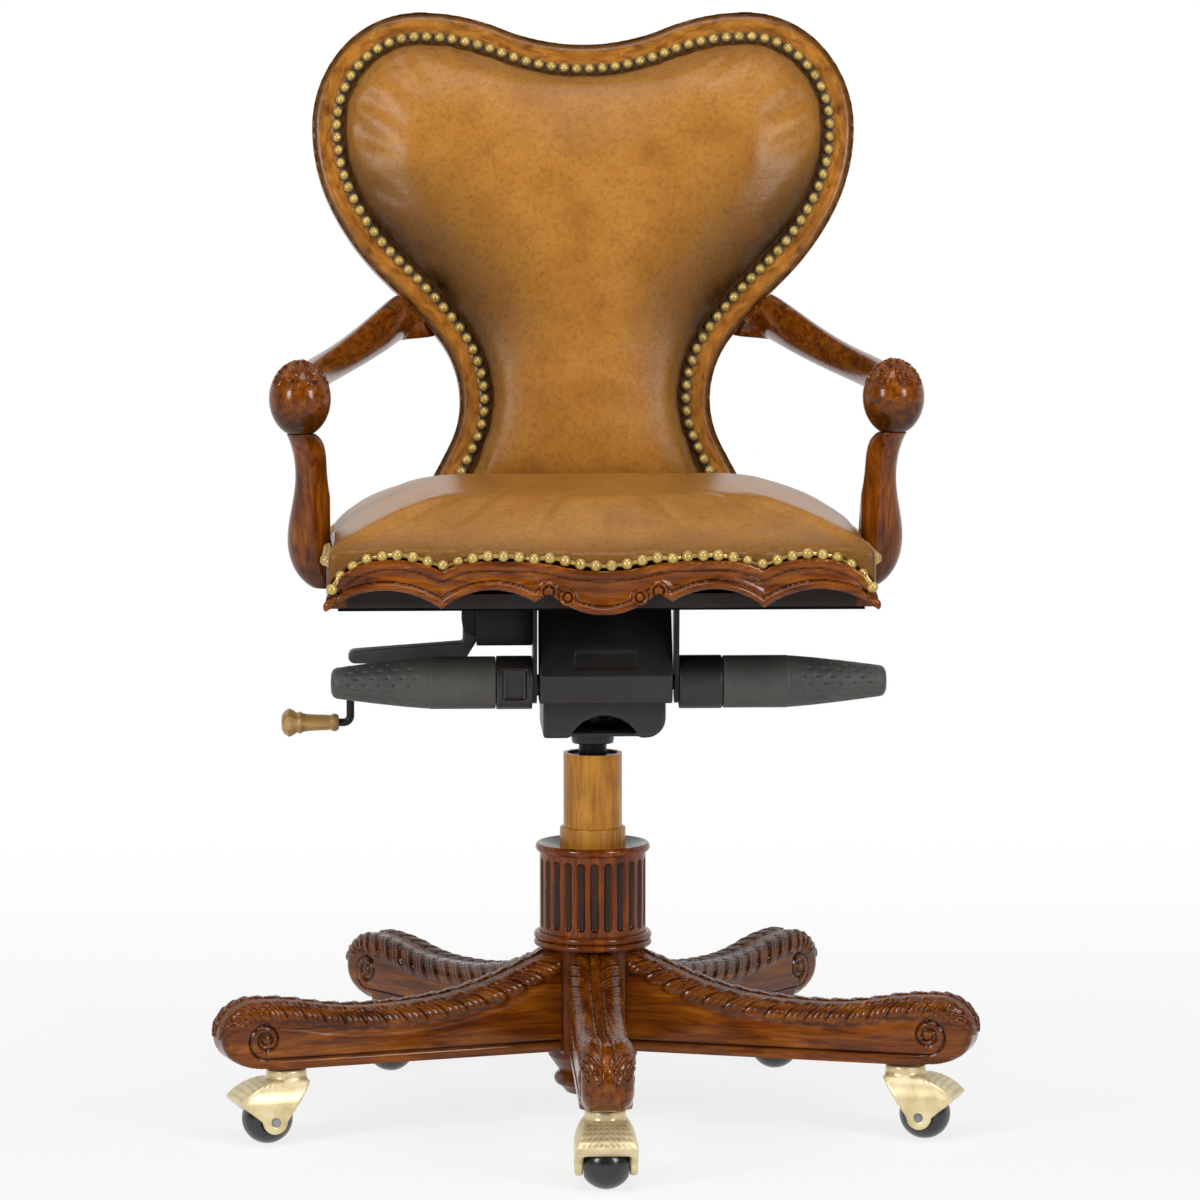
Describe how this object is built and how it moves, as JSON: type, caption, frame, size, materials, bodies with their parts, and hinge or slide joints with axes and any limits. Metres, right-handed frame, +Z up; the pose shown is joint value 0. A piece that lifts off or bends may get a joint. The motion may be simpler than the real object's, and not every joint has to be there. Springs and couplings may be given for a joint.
{
  "type": "office chair",
  "caption": "Carved wooden desk chair with heart-shaped upholstered back, open arms, knee-tilt gas-lift mechanism and five-leg base on hooded ball casters.",
  "frame": {"origin": "on the floor under the gas column's axis", "axes": "+Z up along the column, the sitter faces -Y, -X is left as seen from the front"},
  "size_m": [0.7668, 0.7293, 1.1091],
  "materials": {
    "walnut": "dark walnut, carved, waxed satin gloss",
    "walnut_light": "golden walnut veneer, satin",
    "leather": "antiqued tan leather, soft satin",
    "plywood": "stained plywood",
    "black_plastic": "charcoal moulded plastic",
    "black_steel": "black powder coat",
    "steel": "bare ground steel",
    "brass": "satin antique brass",
    "rubber": "moulded rubber",
    "black_gloss": "black glossy nylon",
    "cambric": "black non-woven cloth"
  },
  "bodies": {
    "base": {"hub": "walnut", "pendant": "walnut", "fluted_drum": "walnut", "column_sleeve": "walnut_light", "sleeve_ring": "walnut_light", "gas_column": "black_steel", "column_bush": "black_plastic", "thrust_bearing": "steel", "caster_sockets": "steel", "leg_front": "walnut", "leg_front_right": "walnut", "leg_rear_right": "walnut", "leg_rear_left": "walnut", "leg_front_left": "walnut"},
    "piston": {"piston_rod": "steel"},
    "tilt_base": {"gas_cylinder": "steel", "tilt_housing": "black_steel", "front_cover": "black_plastic", "tilt_axle": "steel", "torsion_rubbers": "rubber", "axle_collars": "black_plastic"},
    "seat": {"seat_bracket": "black_steel", "bracket_bolts": "steel", "lever_pin": "steel", "seat_board": "plywood", "dust_cover": "cambric", "front_rail": "walnut", "side_rail_left": "walnut", "side_rail_right": "walnut", "back_rail": "walnut", "corner_blocks": "plywood", "seat_pad": "leather", "back_frame": "walnut_light", "back_panel": "plywood", "back_pad": "leather", "arm_left": "walnut", "arm_right": "walnut", "arm_support_left": "walnut", "arm_support_right": "walnut"},
    "button": {"release_button": "steel"},
    "left_grip": {"grip_left": "black_plastic"},
    "right_grip": {"grip_right": "black_plastic"},
    "lever": {"lift_lever": "black_plastic"},
    "crank": {"crank_rod": "black_steel"},
    "knob": {"crank_knob": "walnut_light"},
    "caster_front": {"caster_hood_front": "brass", "caster_pins_front": "steel"},
    "wheel_front": {"caster_wheel_front": "black_gloss"},
    "caster_front_right": {"caster_hood_front_right": "brass", "caster_pins_front_right": "steel"},
    "wheel_front_right": {"caster_wheel_front_right": "black_gloss"},
    "caster_rear_right": {"caster_hood_rear_right": "brass", "caster_pins_rear_right": "steel"},
    "wheel_rear_right": {"caster_wheel_rear_right": "black_gloss"},
    "caster_rear_left": {"caster_hood_rear_left": "brass", "caster_pins_rear_left": "steel"},
    "wheel_rear_left": {"caster_wheel_rear_left": "black_gloss"},
    "caster_front_left": {"caster_hood_front_left": "brass", "caster_pins_front_left": "steel"},
    "wheel_front_left": {"caster_wheel_front_left": "black_gloss"}
  },
  "joints": [
    {"name": "caster_swivel_front", "type": "hinge", "parent": "base", "child": "caster_front", "pos_m": [0, -0.324, 0.095], "axis": [0, 0, 1], "continuous": true},
    {"name": "wheel_roll_front", "type": "hinge", "parent": "caster_front", "child": "wheel_front", "pos_m": [0, -0.344, 0.0254], "axis": [1, 0, 0], "continuous": true},
    {"name": "caster_swivel_front_right", "type": "hinge", "parent": "base", "child": "caster_front_right", "pos_m": [0.30814, -0.10012, 0.095], "axis": [0, 0, 1], "continuous": true},
    {"name": "wheel_roll_front_right", "type": "hinge", "parent": "caster_front_right", "child": "wheel_front_right", "pos_m": [0.32716, -0.1063, 0.0254], "axis": [0.309, 0.9511, 0], "continuous": true},
    {"name": "caster_swivel_rear_right", "type": "hinge", "parent": "base", "child": "caster_rear_right", "pos_m": [0.19044, 0.26212, 0.095], "axis": [0, 0, 1], "continuous": true},
    {"name": "wheel_roll_rear_right", "type": "hinge", "parent": "caster_rear_right", "child": "wheel_rear_right", "pos_m": [0.2022, 0.2783, 0.0254], "axis": [-0.809, 0.5878, 0], "continuous": true},
    {"name": "caster_swivel_rear_left", "type": "hinge", "parent": "base", "child": "caster_rear_left", "pos_m": [-0.19044, 0.26212, 0.095], "axis": [0, 0, 1], "continuous": true},
    {"name": "wheel_roll_rear_left", "type": "hinge", "parent": "caster_rear_left", "child": "wheel_rear_left", "pos_m": [-0.2022, 0.2783, 0.0254], "axis": [-0.809, -0.5878, 0], "continuous": true},
    {"name": "caster_swivel_front_left", "type": "hinge", "parent": "base", "child": "caster_front_left", "pos_m": [-0.30814, -0.10012, 0.095], "axis": [0, 0, 1], "continuous": true},
    {"name": "wheel_roll_front_left", "type": "hinge", "parent": "caster_front_left", "child": "wheel_front_left", "pos_m": [-0.32716, -0.1063, 0.0254], "axis": [0.309, -0.9511, 0], "continuous": true},
    {"name": "seat_swivel", "type": "hinge", "parent": "base", "child": "piston", "pos_m": [0, 0, 0.074], "axis": [0, 0, 1], "continuous": true},
    {"name": "seat_lift", "type": "slide", "parent": "piston", "child": "tilt_base", "axis": [0, 0, 1], "range_m": [0, 0.09]},
    {"name": "knee_tilt", "type": "hinge", "parent": "tilt_base", "child": "seat", "pos_m": [0, -0.095, 0.458], "axis": [-1, 0, 0], "range_deg": [0, 12], "stiffness_Nm_per_rad": 90, "springref_deg": -57.3},
    {"name": "lever_pull", "type": "hinge", "parent": "seat", "child": "lever", "pos_m": [-0.118, -0.045, 0.514], "axis": [0, 1, 0], "range_deg": [0, 10]},
    {"name": "button_press", "type": "slide", "parent": "tilt_base", "child": "button", "axis": [0, 0, -1], "range_m": [0, 0.005], "stiffness_N_per_m": 400},
    {"name": "left_grip_turn", "type": "hinge", "parent": "tilt_base", "child": "left_grip", "pos_m": [-0.18, -0.095, 0.458], "axis": [1, 0, 0], "range_deg": [0, 60]},
    {"name": "right_grip_turn", "type": "hinge", "parent": "tilt_base", "child": "right_grip", "pos_m": [0.2, -0.095, 0.458], "axis": [1, 0, 0], "range_deg": [0, 60]},
    {"name": "crank_turn", "type": "hinge", "parent": "tilt_base", "child": "crank", "pos_m": [-0.1, 0.025, 0.433], "axis": [1, 0, 0], "continuous": true},
    {"name": "knob_spin", "type": "hinge", "parent": "crank", "child": "knob", "pos_m": [-0.28, 0.025, 0.403], "axis": [1, 0, 0], "continuous": true}
  ],
  "couplings": [
    {"joint": "button_press", "follows": "lever_pull", "m_per_rad": 0.0286}
  ]
}
